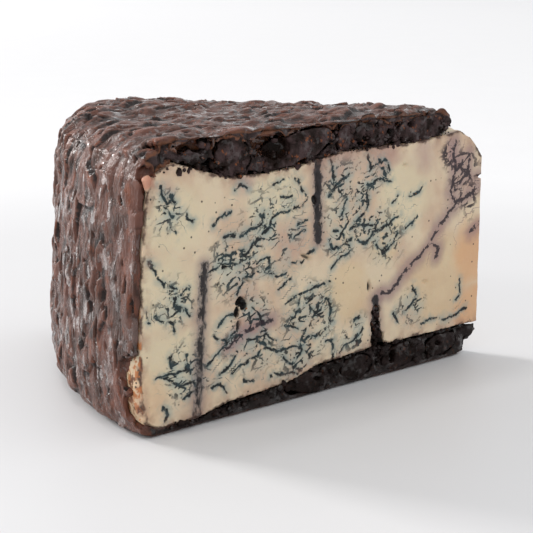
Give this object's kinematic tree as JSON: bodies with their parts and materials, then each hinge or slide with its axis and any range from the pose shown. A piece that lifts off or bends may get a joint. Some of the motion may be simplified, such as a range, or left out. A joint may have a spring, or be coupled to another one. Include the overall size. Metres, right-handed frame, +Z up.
{
  "type": "cheese wedge",
  "caption": "Wedge of blue-veined cheese cut from a round wheel, with a dark pressed-fruit crust on its top, rim and underside.",
  "frame": {"origin": "centre of the wedge's footprint, on the surface that it rests on", "axes": "+Z up; +X towards the sharp tip along the front cut; the front cut faces -Y; the back cut and the rim are on the +Y and -X sides"},
  "size_m": [0.1396, 0.11, 0.082],
  "materials": {
    "blue_cheese_paste": "moist waxy cream paste with blue-green veins",
    "dark_crust": "wrinkled dark brown dried-fruit skin, satin with wet spots",
    "cut_fruit": "matte grey-purple cut dried fruit"
  },
  "bodies": {
    "root": {"cheese_paste": "blue_cheese_paste", "fruit_crust": "dark_crust", "cut_fruit_round": "cut_fruit", "cut_fruit_wide": "cut_fruit", "cut_fruit_narrow": "cut_fruit", "cut_fruit_folded": "cut_fruit", "cut_fruit_end": "cut_fruit", "base_fruit_outer": "cut_fruit", "base_fruit_middle": "cut_fruit", "base_fruit_split": "cut_fruit", "base_fruit_inner": "cut_fruit", "back_fruit_shoulder": "cut_fruit", "back_fruit_long": "cut_fruit", "back_fruit_round": "cut_fruit", "back_fruit_flat": "cut_fruit", "back_fruit_end": "cut_fruit", "back_base_outer": "cut_fruit", "back_base_inner": "cut_fruit"}
  },
  "joints": []
}
